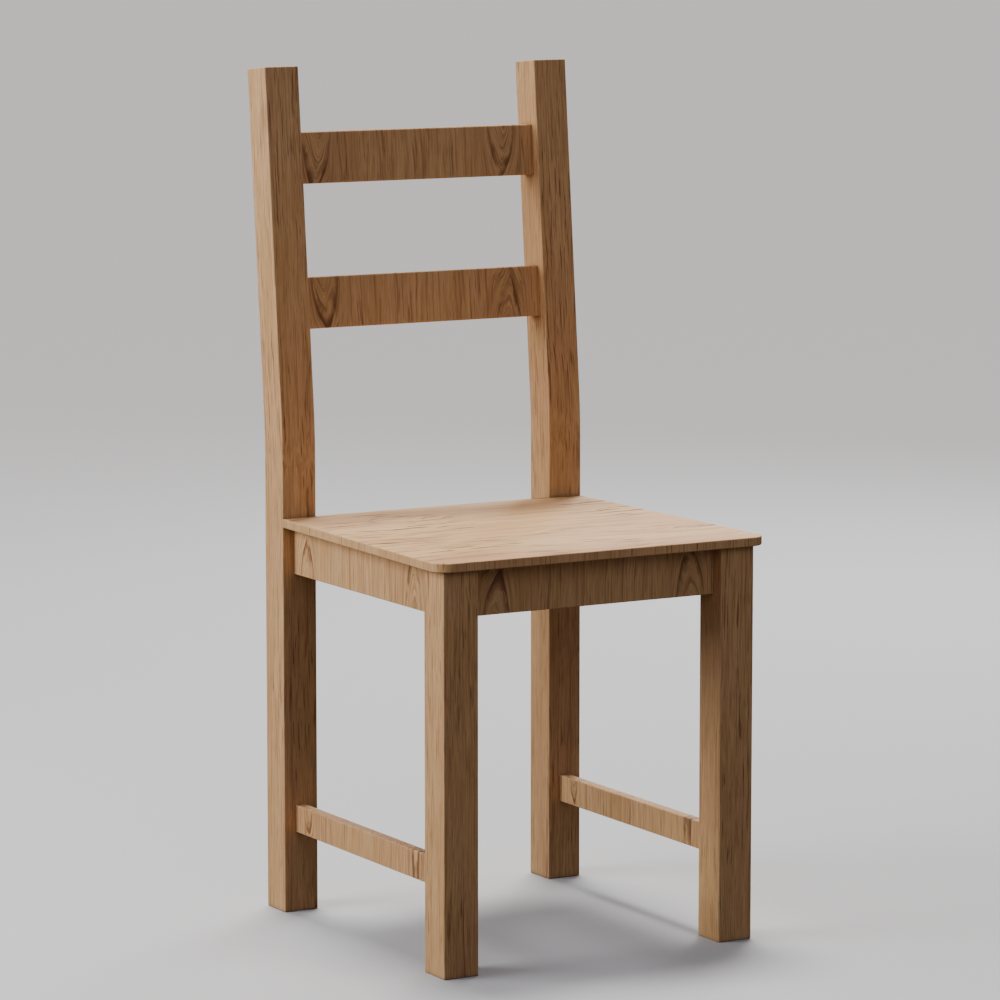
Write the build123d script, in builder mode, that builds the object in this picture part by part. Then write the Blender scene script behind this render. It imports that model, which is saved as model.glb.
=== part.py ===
"""Wooden chair with a thin seat panel and a two-slat leaning back.

Frame: millimetres, +Z up, the chair faces -Y, X = 0 is its plane of symmetry, the floor is Z = 0 and Y = 0 is
halfway between the seat's front edge and the backmost point of the posts. Left is -X and right is +X.
The legs, rails and slats are held by glued dowels, and the seat by screws from four corner blocks.
"""
from math import cos, radians, sin, sqrt, tan
import os

from build123d import *

os.makedirs("parts", exist_ok=True)

# Overall sizes
chair_width = 388.0          # across the outer faces of the posts and of the front legs
back_height = 952.5          # floor to the front top edge of the posts
seat_height = 450.0          # floor to the top of the seat
leg_spacing = 369.0          # front faces of the front legs to front faces of the rear posts

# Legs and posts
leg_width = 42.0             # along X
leg_depth = 43.0             # along Y
bend_rise = 95.0             # top of the seat to where a post's front face turns back
bend_radius = 600.0          # of the rear face, at the bend
back_lean = 5.15             # degrees from vertical

# Seat panel
seat_thickness = 10.0
seat_overhang = 11.0         # beyond the front legs
seat_flare = 13.0            # each side, from the rear edge to the front edge
seat_corner_radius = 20.0
seat_tongue = 4.0            # between the posts, past their front faces
seat_tongue_gap = 0.5        # between the tongue and each post

# Aprons
apron_height = 53.5
apron_thickness = 14.0
side_apron_inset = 14.0      # from the outer faces of the legs
front_apron_inset = 16.0     # from the front faces of the front legs
rear_apron_inset = 0.0       # from the front faces of the posts

# Side stretchers
stretcher_bottom = 91.5
stretcher_height = 31.0
stretcher_thickness = 13.0

# Back slats
slat_height = 58.0           # along the lean
slat_thickness = 21.0
slat_setback = 11.0          # behind the posts' front faces
upper_slat_drop = 73.0       # down the lean, from the posts' front top edges
slat_gap = 104.5             # up the lean, between the slats
slat_rounding = 2.0

# Eased edges
edge_easing = 1.2

# Dowels
dowel_length = 30.0
dowel_radius = 4.0
stretcher_dowel_radius = 3.0
dowel_fit = 0.05             # radial, filled with glue
dowel_end_gap = 1.0          # beyond each end of a dowel
dowel_chamfer = 1.0
slat_dowel_spacing = 30.0
stretcher_dowel_spacing = 14.0
dowel_wall = 6.0             # from the edge of an apron to its nearest dowel

# Corner blocks and their screws
block_height = 22.0
block_width = 20.0           # across the diagonal
block_leg_gap = 1.0          # to the corner of the nearest leg, along X plus along Y
screw_radius = 1.75
screw_head_radius = 3.5
screw_head_angle = 90.0
screw_fit = 0.02             # radial
screw_end_gap = 0.5
screw_point = 3.0            # length of the conical point
recess_length = 3.6          # of the cross recess
recess_width = 0.9
recess_depth = 1.2
block_screw_bite = 10.0      # into an apron
block_screw_sink = 4.0       # below the block's diagonal face
seat_screw_bite = 6.0        # into the seat
seat_screw_sink = 1.0        # below the block's underside

# The chair's depth, from the seat's front edge to the backmost point of the rounded top of the posts
lean = radians(back_lean)
bend_height = seat_height + bend_rise
back_rise = (back_height - bend_height) / cos(lean)
post_back_reach = leg_depth * cos(lean) + back_rise * sin(lean) - edge_easing * (cos(lean) + sin(lean) - 1)
chair_depth = leg_spacing + seat_overhang + post_back_reach

# Faces that other pieces meet
half_width = chair_width / 2
leg_inner = half_width - leg_width
post_front = chair_depth / 2 - post_back_reach
leg_front = post_front - leg_spacing
leg_back = leg_front + leg_depth
seat_front = leg_front - seat_overhang
seat_underside = seat_height - seat_thickness
apron_bottom = seat_underside - apron_height
side_apron_middle = half_width - side_apron_inset - apron_thickness / 2
side_apron_inner = side_apron_middle - apron_thickness / 2
front_apron_middle = leg_front + front_apron_inset + apron_thickness / 2
front_apron_inner = front_apron_middle + apron_thickness / 2
rear_apron_middle = post_front + rear_apron_inset + apron_thickness / 2
rear_apron_inner = rear_apron_middle - apron_thickness / 2
stretcher_middle_height = stretcher_bottom + stretcher_height / 2

sides = {"left": -1, "right": 1}
apron_ends = {"front": leg_back, "rear": post_front}

# Plane in the leaning front faces of the posts: X across the chair, Y up the lean, normal to the front
lean_plane = Plane(origin=(0, post_front, bend_height), x_dir=(1, 0, 0), z_dir=(0, -cos(lean), sin(lean)))
upper_slat_bottom = back_rise - upper_slat_drop - slat_height
lower_slat_bottom = upper_slat_bottom - slat_gap - slat_height
slat_bottoms = {"lower": lower_slat_bottom, "upper": upper_slat_bottom}

# Dowel joints. Each is a plane in the joint's face, with its normal along the dowel. The side aprons' dowels
# and the cross aprons' dowels take turns up the apron, so that they pass each other inside a leg.
dowel_step = (apron_height - 2 * (dowel_wall + dowel_radius)) / 3
dowel_levels = [apron_bottom + dowel_wall + dowel_radius + step * dowel_step for step in range(4)]


def side_joints(side, end, middle, levels):
    """Joints between a rail along Y and the leg or post at one of its ends."""
    return [Plane((sides[side] * middle, apron_ends[end], level), z_dir=(0, 1, 0)) for level in levels]


def side_apron_joints(side, end):
    return side_joints(side, end, side_apron_middle, dowel_levels[0::2])


def stretcher_joints(side, end):
    middle = stretcher_middle_height
    levels = [middle - stretcher_dowel_spacing / 2, middle + stretcher_dowel_spacing / 2]
    return side_joints(side, end, side_apron_middle, levels)


def cross_apron_joints(side, middle):
    """Joints between a front or rear apron and the inner face of a leg or post."""
    return [Plane((sides[side] * leg_inner, middle, level), z_dir=(1, 0, 0)) for level in dowel_levels[1::2]]


def slat_joints(side, bottom):
    """Joints between a back slat and the inner face of a post, on the middle of the slat's thickness."""
    middle = bottom + slat_height / 2
    depth = -(slat_setback + slat_thickness / 2)
    joints = []
    for rise in (middle - slat_dowel_spacing / 2, middle + slat_dowel_spacing / 2):
        origin = lean_plane.from_local_coords((sides[side] * leg_inner, rise, depth))
        joints.append(Plane(origin, z_dir=(1, 0, 0)))
    return joints


hole_depth = dowel_length / 2 + dowel_end_gap
dowel_hole_radius = dowel_radius + dowel_fit
stretcher_dowel_hole_radius = stretcher_dowel_radius + dowel_fit

# Corner blocks, all four alike. Their two diagonal faces meet an apron this far from the corner between the
# aprons' inner faces, and the near one clears the corner of the leg that stands furthest in.
leg_past_side_apron = side_apron_inner - leg_inner
leg_past_cross_apron = max(leg_back - front_apron_inner, rear_apron_inner - post_front)
block_near = leg_past_side_apron + leg_past_cross_apron + block_leg_gap
block_far = block_near + block_width * sqrt(2)

# Each block screw is driven square to its apron, halfway along the block's face on that apron
block_screw_along = (block_near + block_far) / 2
block_screw_reach = block_far - block_screw_along - block_screw_sink
block_screw_length = block_screw_reach + block_screw_bite
seat_screw_length = block_height - seat_screw_sink + seat_screw_bite


def block_corner(side, end):
    """Corner where the inner faces of two aprons meet, and the inward directions along X and Y."""
    inner = {"front": front_apron_inner, "rear": rear_apron_inner}[end]
    inward = {"front": 1, "rear": -1}[end]
    return sides[side] * side_apron_inner, inner, -sides[side], inward


def block_screw_planes(side, end):
    """Screw heads on a corner block's diagonal face, one screw into each apron, normals out of the wood."""
    corner_x, corner_y, toward_x, toward_y = block_corner(side, end)
    height = seat_underside - block_height / 2
    side_head = (
        corner_x + toward_x * block_screw_reach,
        corner_y + toward_y * block_screw_along,
        height,
    )
    cross_head = (
        corner_x + toward_x * block_screw_along,
        corner_y + toward_y * block_screw_reach,
        height,
    )
    return {
        "side": Plane(side_head, z_dir=(toward_x, 0, 0)),
        "cross": Plane(cross_head, z_dir=(0, toward_y, 0)),
    }


def seat_screw_plane(side, end):
    """Head of the screw that goes up through a corner block into the seat, normal down."""
    corner_x, corner_y, toward_x, toward_y = block_corner(side, end)
    middle = (block_near + block_far) / 4
    height = seat_underside - block_height + seat_screw_sink
    return Plane((corner_x + toward_x * middle, corner_y + toward_y * middle, height), z_dir=(0, 0, -1))


def cut_screw_hole(plane, length):
    """Cut a screw's countersunk hole from the current piece."""
    hole_radius = screw_radius + screw_fit
    sink_radius = screw_head_radius + screw_fit
    with Locations(plane):
        CounterSinkHole(hole_radius, sink_radius, length + screw_end_gap, screw_head_angle)


def cut_dowel_holes(joints, radius):
    """Cut the holes of these joints from the current piece, half of each hole on each side of the joint."""
    with Locations(*joints):
        Hole(radius, hole_depth)


def finish(piece, name):
    """Name a finished piece and write it to its own file."""
    piece.label = name
    export_step(piece, f"parts/{name}.step")


# Seat panel: wider at the front, rounded front corners, a shallow tongue over the rear apron between the
# posts, edges eased all round
with BuildPart() as seat_panel:
    with BuildSketch(Plane.XY.offset(seat_underside)) as seat_outline:
        with BuildLine():
            rear_left = (-half_width, post_front)
            rear_right = (half_width, post_front)
            front_right = (half_width + seat_flare, seat_front)
            front_left = (-half_width - seat_flare, seat_front)
            Polyline(rear_left, rear_right, front_right, front_left, close=True)
        make_face()
        fillet(seat_outline.vertices().group_by(Axis.Y)[0], radius=seat_corner_radius)
        with Locations((0, post_front + seat_tongue / 2)):
            Rectangle(2 * (leg_inner - seat_tongue_gap), seat_tongue)
    extrude(amount=seat_thickness)
    fillet(seat_panel.faces().sort_by(Axis.Z)[0].edges(), radius=edge_easing)
    fillet(seat_panel.faces().sort_by(Axis.Z)[-1].edges(), radius=edge_easing)
    for side in sides:
        for end in apron_ends:
            cut_screw_hole(seat_screw_plane(side, end), seat_screw_length)
finish(seat_panel.part, "seat_panel")

# Front legs: square, up to the underside of the seat
for side, sign in sides.items():
    with BuildPart() as front_leg:
        with BuildSketch(Plane((sign * (half_width - leg_width / 2), leg_front + leg_depth / 2, 0))):
            Rectangle(leg_width, leg_depth)
        extrude(amount=seat_underside)
        fillet(front_leg.edges(), radius=edge_easing)
        cut_dowel_holes(side_apron_joints(side, "front"), dowel_hole_radius)
        cut_dowel_holes(cross_apron_joints(side, front_apron_middle), dowel_hole_radius)
        cut_dowel_holes(stretcher_joints(side, "front"), stretcher_dowel_hole_radius)
    finish(front_leg.part, f"front_leg_{side}")

# Rear posts: leg and back in one piece, bent back above the seat, top cut square to the lean
front_top = (post_front + back_rise * sin(lean), back_height)
rear_top = (front_top[0] + leg_depth * cos(lean), front_top[1] - leg_depth * sin(lean))
rear_bend_height = bend_height - leg_depth * tan(lean / 2)
for side, sign in sides.items():
    with BuildPart() as rear_post:
        with BuildSketch(Plane.YZ.offset(sign * (half_width - leg_width / 2))):
            with BuildLine():
                front_corners = [(post_front, 0), (post_front, bend_height), front_top]
                front_line = FilletPolyline(front_corners, radius=bend_radius + leg_depth)
                post_back = post_front + leg_depth
                rear_corners = [(post_back, 0), (post_back, rear_bend_height), rear_top]
                rear_line = FilletPolyline(rear_corners, radius=bend_radius)
                Line(front_line @ 0, rear_line @ 0)
                Line(front_line @ 1, rear_line @ 1)
            make_face()
        extrude(amount=leg_width / 2, both=True)
        fillet(rear_post.edges(), radius=edge_easing)
        cut_dowel_holes(side_apron_joints(side, "rear"), dowel_hole_radius)
        cut_dowel_holes(cross_apron_joints(side, rear_apron_middle), dowel_hole_radius)
        cut_dowel_holes(stretcher_joints(side, "rear"), stretcher_dowel_hole_radius)
        for bottom in slat_bottoms.values():
            cut_dowel_holes(slat_joints(side, bottom), dowel_hole_radius)
    finish(rear_post.part, f"rear_post_{side}")

# Side aprons: between a front leg and a rear post, up to the underside of the seat
rail_middle = (leg_back + post_front) / 2
rail_length = post_front - leg_back
for side, sign in sides.items():
    with BuildPart() as side_apron:
        with BuildSketch(Plane((sign * side_apron_middle, rail_middle, apron_bottom))):
            Rectangle(apron_thickness, rail_length)
        extrude(amount=apron_height)
        fillet(side_apron.edges().filter_by(Axis.Y), radius=edge_easing)
        for end in apron_ends:
            cut_dowel_holes(side_apron_joints(side, end), dowel_hole_radius)
            cut_screw_hole(block_screw_planes(side, end)["side"], block_screw_length)
    finish(side_apron.part, f"side_apron_{side}")

# Front and rear aprons: between the two front legs and between the two rear posts
for end, middle in {"front": front_apron_middle, "rear": rear_apron_middle}.items():
    with BuildPart() as cross_apron:
        with BuildSketch(Plane((0, middle, apron_bottom))):
            Rectangle(2 * leg_inner, apron_thickness)
        extrude(amount=apron_height)
        fillet(cross_apron.edges().filter_by(Axis.X), radius=edge_easing)
        for side in sides:
            cut_dowel_holes(cross_apron_joints(side, middle), dowel_hole_radius)
            cut_screw_hole(block_screw_planes(side, end)["cross"], block_screw_length)
    finish(cross_apron.part, f"{end}_apron")

# Side stretchers: in line with the side aprons, low between a front leg and a rear post
for side, sign in sides.items():
    with BuildPart() as side_stretcher:
        with BuildSketch(Plane((sign * side_apron_middle, rail_middle, stretcher_bottom))):
            Rectangle(stretcher_thickness, rail_length)
        extrude(amount=stretcher_height)
        fillet(side_stretcher.edges().filter_by(Axis.Y), radius=edge_easing)
        for end in apron_ends:
            cut_dowel_holes(stretcher_joints(side, end), stretcher_dowel_hole_radius)
    finish(side_stretcher.part, f"side_stretcher_{side}")

# Back slats: flat boards between the leaning posts, long edges rounded
for level, bottom in slat_bottoms.items():
    with BuildPart() as back_slat:
        with BuildSketch(lean_plane.offset(-slat_setback)):
            with Locations((0, bottom + slat_height / 2)):
                Rectangle(2 * leg_inner, slat_height)
        extrude(amount=-slat_thickness)
        fillet(back_slat.edges().filter_by(Axis.X), radius=slat_rounding)
        for side in sides:
            cut_dowel_holes(slat_joints(side, bottom), dowel_hole_radius)
    finish(back_slat.part, f"back_slat_{level}")

# Corner blocks: diagonal braces between the aprons, past the inner corners of the legs
for end in apron_ends:
    for side in sides:
        with BuildPart() as corner_block:
            with BuildSketch(Plane.XY.offset(seat_underside - block_height)):
                with BuildLine():
                    corner_x, corner_y, toward_x, toward_y = block_corner(side, end)
                    Polyline(
                        (corner_x + toward_x * block_near, corner_y),
                        (corner_x + toward_x * block_far, corner_y),
                        (corner_x, corner_y + toward_y * block_far),
                        (corner_x, corner_y + toward_y * block_near),
                        close=True,
                    )
                make_face()
            extrude(amount=block_height)
            for plane in block_screw_planes(side, end).values():
                cut_screw_hole(plane, block_screw_length)
            cut_screw_hole(seat_screw_plane(side, end), seat_screw_length)
        finish(corner_block.part, f"corner_block_{end}_{side}")

# Joints by group, each group with its own dowels
apron_joints = []
stretcher_joint_planes = []
slat_joint_planes = []
for side in sides:
    for end in apron_ends:
        apron_joints += side_apron_joints(side, end)
        stretcher_joint_planes += stretcher_joints(side, end)
    apron_joints += cross_apron_joints(side, front_apron_middle)
    apron_joints += cross_apron_joints(side, rear_apron_middle)
    for bottom in slat_bottoms.values():
        slat_joint_planes += slat_joints(side, bottom)

dowel_groups = {
    "apron_dowels": (apron_joints, dowel_radius),
    "slat_dowels": (slat_joint_planes, dowel_radius),
    "stretcher_dowels": (stretcher_joint_planes, stretcher_dowel_radius),
}
for name, (joints, radius) in dowel_groups.items():
    with BuildPart() as dowels:
        with Locations(*joints):
            Cylinder(radius, dowel_length)
        chamfer(dowels.edges().filter_by(GeomType.CIRCLE), length=dowel_chamfer)
    finish(dowels.part, name)

# Countersunk wood screws with a cross recess, head face at Z = 0, point down
block_screw_heads = []
seat_screw_heads = []
for side in sides:
    for end in apron_ends:
        block_screw_heads += block_screw_planes(side, end).values()
        seat_screw_heads.append(seat_screw_plane(side, end))

screw_groups = {
    "block_screws": (block_screw_heads, block_screw_length),
    "seat_screws": (seat_screw_heads, seat_screw_length),
}
head_depth = (screw_head_radius - screw_radius) / tan(radians(screw_head_angle / 2))
for name, (heads, length) in screw_groups.items():
    with BuildPart() as screw:
        with BuildSketch(Plane.XZ):
            with BuildLine():
                Polyline(
                    (0, 0),
                    (screw_head_radius, 0),
                    (screw_radius, -head_depth),
                    (screw_radius, -length + screw_point),
                    (0, -length),
                    close=True,
                )
            make_face()
        revolve(axis=Axis.Z)
        with BuildSketch(Plane.XY):
            Rectangle(recess_length, recess_width)
            Rectangle(recess_width, recess_length)
        extrude(amount=-recess_depth, mode=Mode.SUBTRACT)
    with BuildPart() as screws:
        with Locations(*heads):
            add(screw.part)
    finish(screws.part, name)
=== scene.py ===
# The looks of a plain wooden chair, built around its CAD model.
# Every visible piece is a CAD node whose shape is right as it is, so this script gives each one its own
# procedural wood or steel, and sets up the floor, the lights and the camera.
# Lengths are in metres. The chair faces -Y, -X is on the viewer's left, and the floor is z = 0.

import math

import bpy
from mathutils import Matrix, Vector


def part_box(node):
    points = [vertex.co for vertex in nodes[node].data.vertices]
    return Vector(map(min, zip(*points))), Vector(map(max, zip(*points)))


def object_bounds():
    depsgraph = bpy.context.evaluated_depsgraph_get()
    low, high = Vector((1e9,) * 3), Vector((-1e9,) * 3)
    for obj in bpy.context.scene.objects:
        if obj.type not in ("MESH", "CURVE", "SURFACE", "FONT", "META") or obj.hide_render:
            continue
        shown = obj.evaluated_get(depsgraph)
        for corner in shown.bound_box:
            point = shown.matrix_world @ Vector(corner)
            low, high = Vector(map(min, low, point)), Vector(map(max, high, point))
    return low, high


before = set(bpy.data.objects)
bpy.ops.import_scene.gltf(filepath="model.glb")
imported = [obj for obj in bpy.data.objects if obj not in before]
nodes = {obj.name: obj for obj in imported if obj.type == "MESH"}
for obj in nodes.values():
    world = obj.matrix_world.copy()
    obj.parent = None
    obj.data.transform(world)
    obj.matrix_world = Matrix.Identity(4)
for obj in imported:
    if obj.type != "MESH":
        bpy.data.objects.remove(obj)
cad_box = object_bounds()


# Colours of the bare wood, from its palest fibres to the darkest streaks
PALE_WOOD = (0.730, 0.455, 0.215)
WARM_WOOD = (0.650, 0.385, 0.165)
PINK_WOOD = (0.690, 0.385, 0.205)
RING_WOOD = (0.370, 0.178, 0.075)
DARK_WOOD = (0.190, 0.083, 0.030)
# Rubbed, paler edges, which also serve as a painted highlight along the arrises
WORN_AND_HIGHLIT_WOOD = (0.720, 0.490, 0.280)
# Grime and painted shade, for corners where pieces meet and for recesses
GRIME_AND_SHADE = (0.110, 0.065, 0.035)
ZINC = (0.520, 0.510, 0.490)
TARNISH = (0.300, 0.270, 0.230)

# Noise layers of the wood: (waves a metre across the grain, waves a metre along it, octaves of detail)
DRIFT = (24, 3.5, 3)
BLUSH = (41, 7.0, 2)
BROAD_RINGS = (110, 2.5, 3)
FINE_RINGS = (400, 5.0, 2)
FIBRES = (780, 20, 2)
PORES = (900, 55, 2)
FLECKS = (520, 20, 2)
FLECK_PATCHES = (34, 5.0, 1)

# An arched grain figure: the radius of its tip, how far inwards its dark arch lies, how wide that arch is,
# and how much further it fades in places
TIP_RADIUS = 0.0022
ARCH_INSET = 0.0105
ARCH_WIDTH = 0.0040
ARCH_FADE = 0.0090

# How far to each side a figure bends the grain
WIDE = 0.030
NARROW = 0.011

# The photograph's viewing angle, and the camera's distance and its focal length in mm for a 36 mm sensor
CAMERA_AZIMUTH = -29.88
CAMERA_ELEVATION = 8.0
CAMERA_DISTANCE = 5.2225
CAMERA_LENS = 169.3


class Shader:
    """A material and short ways to write its nodes.

    A value is a number, a colour or another node's socket."""

    def __init__(self, name):
        self.material = bpy.data.materials.new(name)
        self.material.use_nodes = True
        self.tree = self.material.node_tree
        self.surface = self.tree.nodes["Principled BSDF"]
        self.coords = self.add("TexCoord", {}).outputs["Object"]

    def add(self, kind, inputs, **settings):
        node = self.tree.nodes.new("ShaderNode" + kind)
        for name, value in settings.items():
            setattr(node, name, value)
        for name, value in inputs.items():
            self.plug(node.inputs[name], value)
        return node

    def plug(self, socket, value):
        if isinstance(value, bpy.types.NodeSocket):
            self.tree.links.new(value, socket)
        elif isinstance(value, tuple) and len(value) == 3 and socket.type == "RGBA":
            socket.default_value = (*value, 1.0)
        else:
            socket.default_value = value

    def math(self, operation, *values):
        return self.add("Math", dict(enumerate(values)), operation=operation).outputs[0]

    def weighted(self, *terms):
        """The sum of value * weight over the (value, weight) pairs."""
        total = 0.0
        for value, weight in terms:
            total = self.math("MULTIPLY_ADD", value, weight, total)
        return total

    def vector(self, x, y, z):
        return self.add("CombineXYZ", {0: x, 1: y, 2: z}).outputs[0]

    def stretch(self, vector, scales, offset=(0.0, 0.0, 0.0)):
        inputs = {0: vector, 1: scales, 2: offset}
        return self.add("VectorMath", inputs, operation="MULTIPLY_ADD").outputs[0]

    def noise(self, vector, detail, roughness=0.5):
        inputs = {"Vector": vector, "Scale": 1.0, "Detail": detail, "Roughness": roughness}
        return self.add("TexNoise", inputs).outputs["Fac"]

    def step(self, value, low, high):
        """0 below low, 1 above high and smooth between; low above high turns it round."""
        inputs = {"Value": value, "From Min": low, "From Max": high}
        return self.add("MapRange", inputs, interpolation_type="SMOOTHSTEP").outputs["Result"]

    def mix(self, factor, first, second):
        node = self.add("Mix", {}, data_type="RGBA")
        self.plug(node.inputs[0], factor)
        self.plug(node.inputs[6], first)
        self.plug(node.inputs[7], second)
        return node.outputs[2]

    def edge_wear_and_highlight(self, radius):
        """1 along the piece's own edges, 0 on its flats; it masks rubbed wear and a painted edge
        highlight.
        """
        rounded = self.add("Bevel", {"Radius": radius}, samples=4).outputs[0]
        flat = self.add("NewGeometry", {}).outputs["True Normal"]
        facing = self.add("VectorMath", {0: rounded, 1: flat}, operation="DOT_PRODUCT").outputs["Value"]
        return self.step(facing, 0.985, 0.88)

    def shaded_crevice(self, reach):
        """1 deep in the corners where pieces meet, 0 in the open; it masks dirt there and painted shade.
        """
        openness = self.add("AmbientOcclusion", {"Distance": reach}, samples=4).outputs["AO"]
        return self.step(openness, 0.75, 0.35)

    def finish(self, colour, roughness, height, relief):
        """Sends the colour, roughness and bump height (relief metres from 0 to 1) to the surface."""
        self.plug(self.surface.inputs["Base Color"], colour)
        self.plug(self.surface.inputs["Roughness"], roughness)
        bump = self.add("Bump", {"Height": height, "Strength": 1.0, "Distance": relief})
        self.plug(self.surface.inputs["Normal"], bump.outputs[0])
        return self.material


def wood(shader, grain, seed, figure=0.0, fibres=0.62, rings=0.6, streaks=0.5, breadth=1.0, darkening=0.0):
    """Finishes a bare, lightly worn wood.

    grain is a vector: across the rings, through the depth, along the fibres. figure darkens the arches of
    a figured board. fibres, rings and streaks say how dark those three are, and breadth widens them all.
    The last argument says how far the wood is darkened towards the ring colour."""
    shift = (7.3 * seed, 3.1 * seed, 1.7 * seed)

    def layer(across, along, detail, roughness=0.5):
        scales = (across / breadth, across / breadth, along)
        return shader.noise(shader.stretch(grain, scales, shift), detail, roughness)

    # Masks, from 0 to 1
    drift = layer(*DRIFT)
    warm = shader.step(drift, 0.35, 0.65)
    pink = shader.step(layer(*BLUSH), 0.40, 0.66)
    fibre = shader.step(layer(*FIBRES, roughness=0.6), 0.38, 0.62)
    pore = shader.step(layer(*PORES), 0.55, 0.66)
    broad_ring = shader.step(layer(*BROAD_RINGS), 0.46, 0.68)
    fine_ring = shader.step(layer(*FINE_RINGS), 0.56, 0.63)
    fleck = shader.step(layer(*FLECKS), 0.57, 0.65)
    patches = layer(*FLECK_PATCHES)

    fine = shader.math("MULTIPLY", shader.weighted((fibre, 0.60), (pore, 0.40)), fibres)
    ring = shader.weighted((broad_ring, 0.20), (fine_ring, 0.80))
    ring = shader.math("MULTIPLY", ring, rings)
    streak = shader.math("MULTIPLY", fleck, shader.step(patches, 0.40, 0.56))
    streak = shader.math("MULTIPLY", streak, streaks)
    # Paler edges in patches: rubbed wear, and a painted highlight along the arrises
    rub_and_highlight = shader.math("MULTIPLY", shader.edge_wear_and_highlight(0.003), shader.step(patches, 0.35, 0.60))
    # Painted shade, with grime: corners where pieces meet, such as under the seat's edge, are darkened
    dirt_and_shade = shader.math("MULTIPLY", shader.shaded_crevice(0.012), 0.50)

    colour = shader.mix(warm, PALE_WOOD, WARM_WOOD)
    colour = shader.mix(shader.math("MULTIPLY", pink, 0.45), colour, PINK_WOOD)
    colour = shader.mix(darkening, colour, RING_WOOD)
    colour = shader.mix(fine, colour, RING_WOOD)
    colour = shader.mix(ring, colour, RING_WOOD)
    colour = shader.mix(shader.math("MAXIMUM", figure, streak), colour, DARK_WOOD)
    # Lightens the edges: painted edge highlight and rubbed wear
    colour = shader.mix(shader.math("MULTIPLY", rub_and_highlight, 0.55), colour, WORN_AND_HIGHLIT_WOOD)
    # Darkens the corners towards the grime colour: painted shade and grime
    colour = shader.mix(dirt_and_shade, colour, GRIME_AND_SHADE)

    roughness = shader.weighted((fibre, 0.10), (streak, 0.15), (drift, 0.10), (rub_and_highlight, -0.10), (1.0, 0.50))
    hollows = ((fibre, -0.4), (pore, -0.4), (ring, -0.2), (streak, -0.6), (figure, -0.3))
    height = shader.weighted(*hollows, (1.0, 1.0))
    shader.surface.inputs["Specular IOR Level"].default_value = 0.35
    return shader.finish(colour, roughness, height, relief=0.00016)


def split(shader):
    """The row-frame x, y and z of the shaded point."""
    return shader.add("SeparateXYZ", {0: shader.coords}).outputs


def straightened(shader):
    """x, y and z, with the lean of the back taken out of y so that noise runs along leaning faces too."""
    x, y, z = split(shader)
    start, slope = post_lean()
    above = shader.math("MAXIMUM", shader.math("SUBTRACT", z, start), 0.0)
    return x, shader.math("MULTIPLY_ADD", above, -slope, y), z


def post_lean():
    """(height where a rear post starts to lean, how far it leans back for each metre above)."""
    above_seat = 0.05
    end_zone = 0.01
    low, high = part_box("rear_post_left")
    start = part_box("seat_panel")[1].z + above_seat
    points = [vertex.co for vertex in nodes["rear_post_left"].data.vertices]
    foot = [point.y for point in points if point.z < low.z + end_zone]
    top = [point.y for point in points if point.z > high.z - end_zone]
    run = ((min(top) + max(top)) - (min(foot) + max(foot))) / 2
    return start, run / (high.z - start)


def upright_wood(name, seed):
    """A leg or rear post: straight vertical grain that follows the post's lean, with dark pore streaks."""
    shader = Shader(name + "_wood")
    x, y, z = straightened(shader)
    wobble = shader.noise(shader.stretch(shader.coords, (14, 14, 6), (seed, seed, seed)), 2)
    across = shader.math("MULTIPLY_ADD", wobble, 0.010, x)
    depth = shader.math("MULTIPLY_ADD", wobble, 0.006, y)
    grain = shader.vector(across, depth, z)
    return wood(shader, grain, seed, fibres=0.66, rings=0.60, streaks=0.75)


def figured_wood(name, seed, figures, along_x):
    """A rail, slat or stretcher: upright grain that bends round an arched figure near each end.

    figures holds two of (place along the piece, height of the arch's tip, slant, lean, reach). The slant
    is above 0 for an arch that opens upwards, the lean tilts it to +X or +Y as it rises, and the reach is
    how far to each side the grain bends."""
    shader = Shader(name + "_wood")
    x, y, z = straightened(shader)
    length, depth = (x, y) if along_x else (y, x)
    wobble = shader.noise(shader.stretch(shader.coords, (52, 52, 12), (seed, seed, seed)), 2)
    ripple = shader.noise(shader.stretch(shader.coords, (260, 260, 25), (seed, seed, seed)), 1)
    bend = shader.weighted((wobble, 0.0090), (ripple, 0.0010))
    first, first_near = distance_to(shader, length, z, figures[0])
    second, second_near = distance_to(shader, length, z, figures[1])

    # Between the figures the grain counts on from the first to the second, so that it isn't mirrored there
    start, end = (figure[0] for figure in figures)
    middle = (start + end) / 2
    blend = 0.03
    past_middle = shader.step(length, middle - blend, middle + blend)
    to_second = shader.math("SUBTRACT", end - start, second)
    rest = shader.math("SUBTRACT", to_second, first)
    across = shader.math("ADD", shader.math("MULTIPLY_ADD", rest, past_middle, first), bend)

    nearest = shader.math("ADD", shader.math("MINIMUM", first, second), bend)
    nearness = shader.math("MAXIMUM", first_near, second_near)
    figure = shader.math("MULTIPLY", arches(shader, nearest, z, seed), nearness)
    grain = shader.vector(across, shader.math("MULTIPLY_ADD", length, 0.1, depth), z)
    return wood(shader, grain, seed, figure, fibres=0.60, rings=0.75, streaks=0.50)


def distance_to(shader, length, height, figure):
    """The distance from a figure, whose arches are lines of equal distance, and 1 near it to 0 far off."""
    place, tip, slant, lean, reach = figure
    offset = shader.math("SUBTRACT", length, place)
    near = shader.step(shader.math("ABSOLUTE", offset), reach, reach / 4)
    above = shader.math("MULTIPLY", shader.math("SUBTRACT", height, tip), near)
    sideways = shader.math("MULTIPLY_ADD", above, -lean, offset)
    spread = shader.math("SQRT", shader.math("MULTIPLY_ADD", sideways, sideways, TIP_RADIUS**2))
    return shader.math("MULTIPLY_ADD", above, -slant, spread), near


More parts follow.
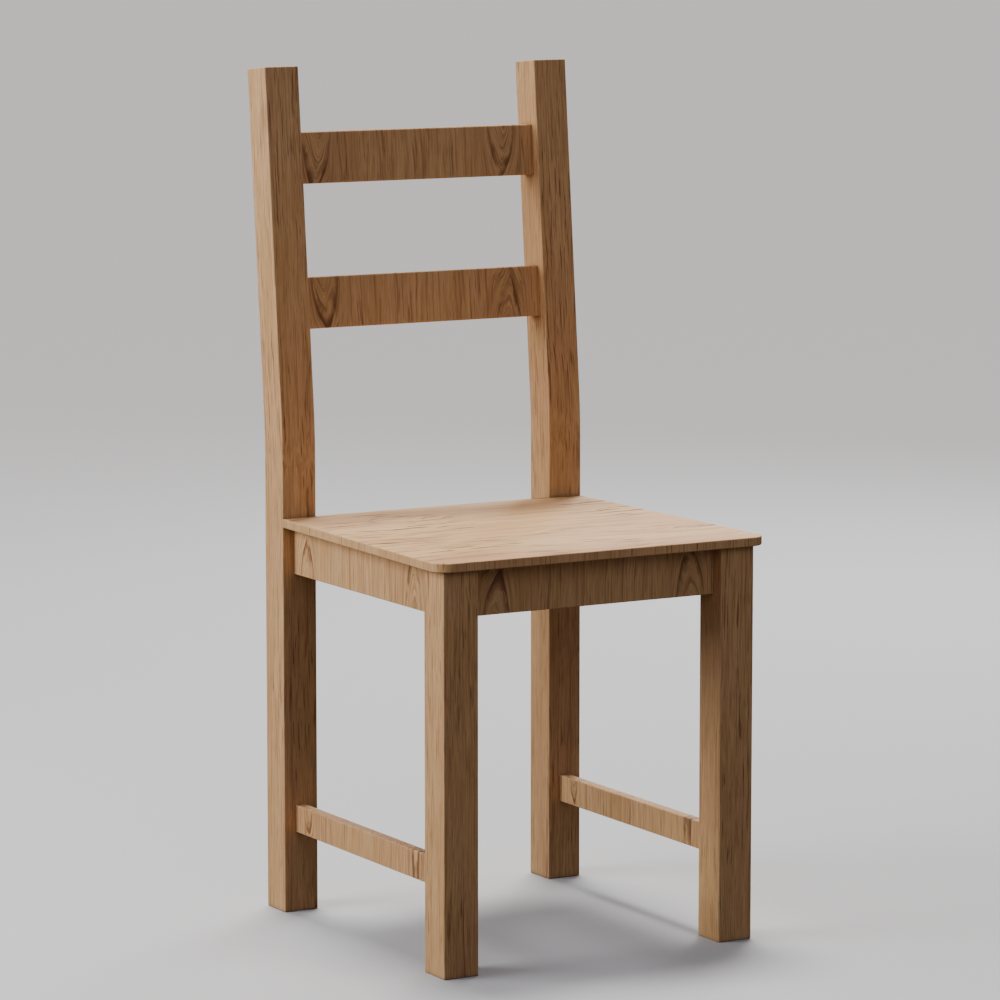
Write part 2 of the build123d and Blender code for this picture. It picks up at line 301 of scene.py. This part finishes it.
def arches(shader, distance, height, seed):
    """How dark the arched rings are: one strong, blotchy arch, and a few uneven rings around it."""
    rim = TIP_RADIUS + ARCH_INSET
    blotches = shader.noise(shader.stretch(shader.coords, (110, 110, 60), (seed, seed, seed)), 2)
    fade = shader.math("MULTIPLY", shader.step(blotches, 0.35, 0.65), -ARCH_FADE)
    outer = shader.step(distance, rim + 0.0009, rim)
    inner = shader.step(distance, shader.math("ADD", fade, rim - ARCH_WIDTH), rim - 0.0012)
    strong = shader.math("MULTIPLY", outer, inner)
    along = shader.math("MULTIPLY", height, 12)
    uneven = shader.noise(shader.vector(shader.math("MULTIPLY", distance, 150), seed, along), 2)
    rings = shader.math("MULTIPLY", shader.step(uneven, 0.57, 0.64), 0.55)
    fading = shader.noise(shader.stretch(shader.coords, (70, 70, 40)), 1)
    dark = shader.math("MULTIPLY", shader.math("MAXIMUM", strong, rings), shader.step(fading, 0.22, 0.48))
    return shader.math("MULTIPLY", dark, 0.95)


def seat_wood():
    """The seat: broad wavy grain from side to side, darker near the front, and upright grain on its edges.

    Where the face turns from flat to edge, one grain takes over from the other."""
    shader = Shader("seat_panel_wood")
    breadth = 2.2
    x, y, z = split(shader)
    wave = shader.noise(shader.stretch(shader.coords, (5, 16, 5)), 2)
    ripple = shader.noise(shader.stretch(shader.coords, (24, 60, 5)), 2)
    across = shader.weighted((wave, 0.060), (ripple, 0.006), (y, 1.0))
    flat_grain = shader.vector(across, z, shader.math("MULTIPLY", x, 0.8))
    edge_grain = shader.stretch(shader.vector(shader.math("ADD", x, y), 0.0, z), (breadth, breadth, 1))
    normal = shader.add("NewGeometry", {}).outputs["True Normal"]
    facing_up = shader.add("SeparateXYZ", {0: normal}).outputs[2]
    is_edge = shader.step(shader.math("ABSOLUTE", facing_up), 0.6, 0.4)
    grain = shader.mix(is_edge, flat_grain, edge_grain)

    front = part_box("seat_panel")[0].y
    # The top grows darker towards its front edge, up to this share of the ring colour; the edges stay as
    # they are
    darkest = 0.42
    near_front = shader.step(shader.weighted((wave, 0.12), (y, 1.0)), front + 0.14, front + 0.07)
    darkening = shader.math("MULTIPLY", near_front, shader.math("MULTIPLY_ADD", is_edge, -darkest, darkest))
    return wood(shader, grain, 4.2, fibres=0.45, rings=0.60, streaks=1.0, breadth=breadth, darkening=darkening)


def plain_wood(name, seed, direction):
    """A hidden block or dowel: plain fibres along direction, with no figure."""
    shader = Shader(name + "_wood")
    along = Vector(direction).normalized()
    depth = along.orthogonal().normalized()
    across = along.cross(depth)
    parts = [
        shader.add("VectorMath", {0: shader.coords, 1: axis}, operation="DOT_PRODUCT").outputs["Value"]
        for axis in (across, depth, along)
    ]
    return wood(shader, shader.vector(*parts), seed, rings=0.55, streaks=0.2)


def screw_steel():
    """Zinc-plated steel, a little tarnished, its cross recess darkened by painted shade and grime."""
    shader = Shader("screw_steel")
    clouds = shader.noise(shader.stretch(shader.coords, (500, 500, 500)), 3)
    scratches = shader.noise(shader.stretch(shader.coords, (9000, 1500, 1500)), 2, 0.6)
    colour = shader.mix(shader.step(clouds, 0.40, 0.70), ZINC, TARNISH)
    # Painted shade and grime darken the cross recess
    colour = shader.mix(shader.math("MULTIPLY", shader.shaded_crevice(0.002), 0.6), colour, GRIME_AND_SHADE)
    roughness = shader.weighted((clouds, 0.25), (scratches, 0.15), (1.0, 0.18))
    shader.surface.inputs["Metallic"].default_value = 1.0
    return shader.finish(colour, roughness, scratches, relief=0.00003)


def dress(name, material):
    """Puts the material in every slot of a CAD node."""
    for material_slot in nodes[name].material_slots:
        material_slot.material = material


def dress_uprights():
    """Legs and rear posts, each with its own grain."""
    names = ("front_leg_left", "front_leg_right", "rear_post_left", "rear_post_right")
    for number, name in enumerate(names):
        dress(name, upright_wood(name, 1.0 + 2.3 * number))


def dress_rails():
    """Rails, slats and stretchers, with two figures each: (place, tip, slant, lean, reach).

    Here a figure's place and tip are shares of the piece's own length and height."""
    up, down, straight = 0.42, -0.42, 0.06
    stretcher = ((0.14, 0.40, straight, 0.05, WIDE), (0.90, 0.55, up, 0.10, NARROW))
    figures = {
        "back_slat_upper": ((0.07, 0.05, up, 0.15, WIDE), (0.86, 0.20, up, 0.10, WIDE)),
        "back_slat_lower": ((0.09, 0.20, up, -0.10, WIDE), (0.87, 0.55, down, 0.12, WIDE)),
        "front_apron": ((0.11, 0.62, down, 0.14, WIDE), (0.90, 0.82, down, -0.05, WIDE)),
        "rear_apron": ((0.20, 0.30, up, -0.10, WIDE), (0.78, 0.65, down, 0.10, WIDE)),
        "side_apron_left": ((0.15, 0.90, down, 0.08, WIDE), (0.90, 0.65, down, -0.08, WIDE)),
        "side_apron_right": ((0.12, 0.30, up, 0.10, WIDE), (0.84, 0.72, down, 0.06, WIDE)),
        "side_stretcher_left": stretcher,
        "side_stretcher_right": stretcher,
    }
    for number, (name, places) in enumerate(figures.items()):
        along_x = not name.startswith("side_")
        low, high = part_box(name)
        start, length = (low.x, high.x - low.x) if along_x else (low.y, high.y - low.y)
        tips = [
            (start + share * length, low.z + rise * (high.z - low.z), slant, lean, reach)
            for share, rise, slant, lean, reach in places
        ]
        dress(name, figured_wood(name, 11.0 + 1.9 * number, tips, along_x))


def dress_hidden():
    """Corner blocks with diagonal grain, dowels and screws."""
    for front_or_rear, y in (("front", -1), ("rear", 1)):
        for side, x in (("left", -1), ("right", 1)):
            name = f"corner_block_{front_or_rear}_{side}"
            dress(name, plain_wood(name, 31.0 + 2 * y + x, (-x, y, 0)))
    for number, name in enumerate(("apron_dowels", "slat_dowels", "stretcher_dowels")):
        dress(name, plain_wood(name, 41.0 + number, (1, 0, 0) if name == "slat_dowels" else (0, 1, 0)))
    steel = screw_steel()
    for name in ("block_screws", "seat_screws"):
        dress(name, steel)


def floor_paint():
    """Pale to the camera, but it bounces little light, so that the chair's shaded sides stay deep."""
    shader = Shader("pale_floor")
    seen = shader.add("BsdfDiffuse", {"Color": (0.49, 0.49, 0.505)})
    bounced = shader.add("BsdfDiffuse", {"Color": (0.05, 0.045, 0.04)})
    is_seen = shader.add("LightPath", {}).outputs["Is Camera Ray"]
    both = shader.add("MixShader", {0: is_seen, 1: bounced.outputs[0], 2: seen.outputs[0]})
    output = shader.tree.nodes["Material Output"]
    shader.plug(output.inputs["Surface"], both.outputs[0])
    return shader.material


def add_floor():
    """A plain pale floor that reaches past every view's edge."""
    reach = 60.0
    mesh = bpy.data.meshes.new("floor")
    corners = [(-reach, -reach, 0), (reach, -reach, 0), (reach, reach, 0), (-reach, reach, 0)]
    mesh.from_pydata(corners, [], [(0, 1, 2, 3)])
    floor = bpy.data.objects.new("floor", mesh)
    bpy.context.scene.collection.objects.link(floor)
    mesh.materials.append(floor_paint())


def aim(item, spot):
    item.rotation_euler = (spot - item.location).to_track_quat("-Z", "Y").to_euler()


def direction(azimuth, elevation):
    """Unit vector from the chair: azimuth 0 is in front of it (-Y), 90 to +X, in degrees."""
    turn, rise = math.radians(azimuth), math.radians(elevation)
    return Vector((math.sin(turn) * math.cos(rise), -math.cos(turn) * math.cos(rise), math.sin(rise)))


def add_light(name, kind, spot, azimuth, elevation, distance, **settings):
    """A light that shines on the spot from that direction and distance."""
    light = bpy.data.lights.new(name, kind)
    for key, value in settings.items():
        setattr(light, key, value)
    lamp = bpy.data.objects.new(name, light)
    bpy.context.scene.collection.objects.link(lamp)
    lamp.location = spot + direction(azimuth, elevation) * distance
    aim(lamp, spot)


def add_lights(centre):
    """Four soft lights: a big one from the viewer's left, a warm one from above, one from behind on the
    right and a faint cool one from the front. A dim pinkish surround fills the shadows."""
    warm, cool = (1.0, 0.975, 0.91), (0.90, 0.95, 1.0)
    add_light("key", "AREA", centre, azimuth=-105, elevation=21, distance=2.7, energy=75, size=1.7)
    add_light(
        "top", "SUN", centre, azimuth=165, elevation=75, distance=3.0,
        energy=3.9, angle=math.radians(17), color=warm,
    )
    add_light("rim", "AREA", centre, azimuth=132, elevation=30, distance=3.5, energy=66, size=1.2)
    add_light(
        "front", "AREA", centre, azimuth=-12, elevation=29, distance=3.0,
        energy=7, size=1.4, color=cool,
    )
    world = bpy.data.worlds.new("surround")
    world.use_nodes = True
    background = world.node_tree.nodes["Background"]
    background.inputs["Color"].default_value = (1.0, 0.90, 0.98, 1.0)
    background.inputs["Strength"].default_value = 0.22
    bpy.context.scene.world = world


def add_camera(centre):
    camera = bpy.data.objects.new("camera", bpy.data.cameras.new("camera"))
    bpy.context.scene.collection.objects.link(camera)
    camera.data.lens = CAMERA_LENS
    camera.data.sensor_width = 36.0
    camera.location = centre + direction(CAMERA_AZIMUTH, CAMERA_ELEVATION) * CAMERA_DISTANCE
    aim(camera, centre)
    bpy.context.scene.camera = camera


dress("seat_panel", seat_wood())
dress_uprights()
dress_rails()
dress_hidden()

centre = (cad_box[0] + cad_box[1]) / 2
add_floor()
add_lights(centre)
add_camera(centre)
